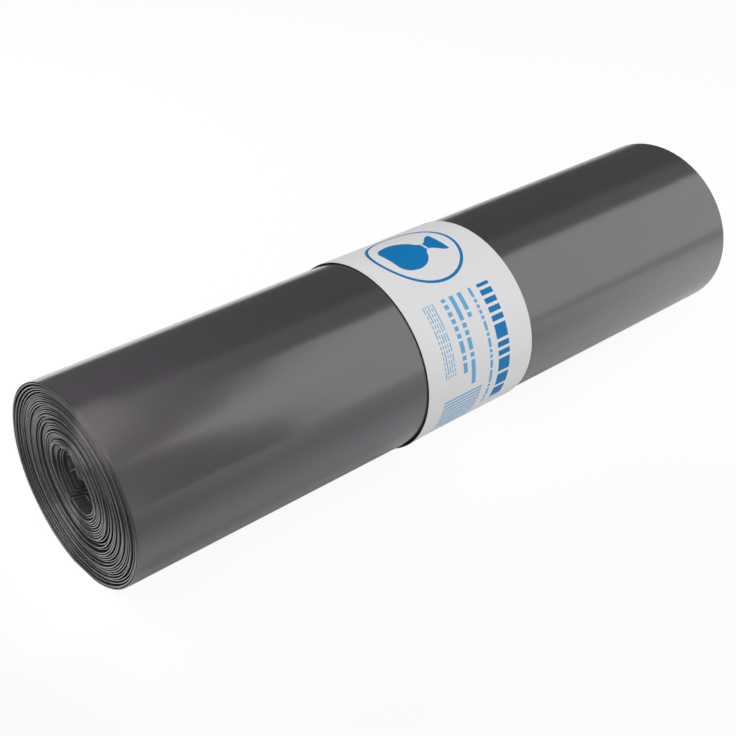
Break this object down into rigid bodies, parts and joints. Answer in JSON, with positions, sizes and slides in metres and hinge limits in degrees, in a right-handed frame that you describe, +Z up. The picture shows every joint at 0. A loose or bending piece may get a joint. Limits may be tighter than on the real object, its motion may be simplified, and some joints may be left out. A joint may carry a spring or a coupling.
{
  "type": "bin bag roll",
  "caption": "Coreless roll of folded grey refuse sacks lying on its side, with a loose printed paper band glued round its middle.",
  "frame": {"origin": "On the resting plane, below the middle of the roll", "axes": "+X along the winding axis from the near end to the far end, +Z up"},
  "size_m": [0.2874, 0.0746, 0.0694],
  "materials": {
    "sack_film": "dark grey recycled polyethylene film, semi-gloss",
    "band_paper": "white coated paper printed in blue"
  },
  "bodies": {
    "root": {"bag_roll": "sack_film", "paper_band": "band_paper"}
  },
  "joints": []
}
